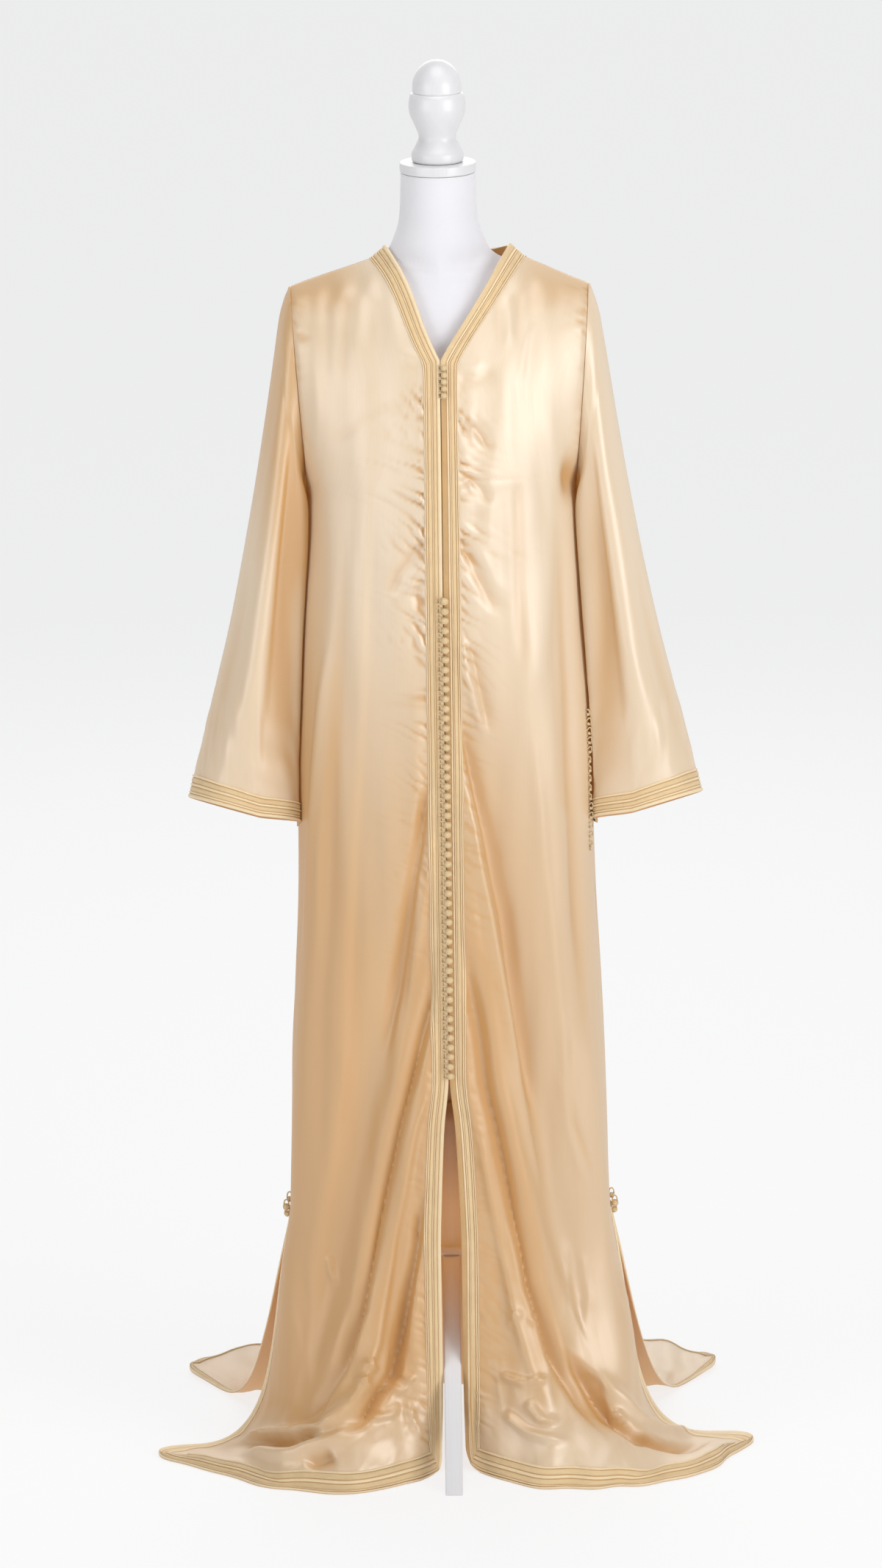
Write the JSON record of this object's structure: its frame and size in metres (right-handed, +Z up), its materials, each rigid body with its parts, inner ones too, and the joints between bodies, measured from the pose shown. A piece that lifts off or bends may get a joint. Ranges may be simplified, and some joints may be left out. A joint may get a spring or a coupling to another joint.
{
  "type": "takchita underpiece on a limbless dress form",
  "caption": "Champagne satin takchita underpiece, a long-sleeved caftan layer with braided V neck, knotted button front, side slits and train, on a white limbless dress form on a tripod stand.",
  "frame": {"origin": "on the floor, under the middle of the whole part's box", "axes": "+Z up from the floor; +Y towards the back and the train; +X towards the wearer's left"},
  "size_m": [0.732, 0.678, 1.7345],
  "materials": {
    "satin": "champagne satin",
    "braid": "gold-thread braid",
    "knots": "knotted cord",
    "jersey": "white jersey cover",
    "paint": "white satin paint"
  },
  "bodies": {
    "root": {"front_left": "satin", "front_right": "satin", "back": "satin", "sleeve_left": "satin", "sleeve_right": "satin", "edge_braid_left": "braid", "edge_braid_right": "braid", "slit_braid_front_left": "braid", "slit_braid_front_right": "braid", "slit_braid_back_left": "braid", "slit_braid_back_right": "braid", "hem_braid_left": "braid", "hem_braid_right": "braid", "hem_braid_back": "braid", "neck_braid_back": "braid", "cuff_braid_left": "braid", "cuff_braid_right": "braid", "buttons_top": "knots", "buttons_1": "knots", "buttons_2": "knots", "buttons_3": "knots", "buttons_4": "knots", "buttons_5": "knots", "slit_knots_left": "knots", "slit_knots_right": "knots", "hip_knots_left": "knots", "form_torso": "jersey", "neck_disc": "paint", "finial": "paint", "hub": "paint", "post": "paint", "leg_front": "paint", "leg_left": "paint", "leg_right": "paint"}
  },
  "joints": []
}
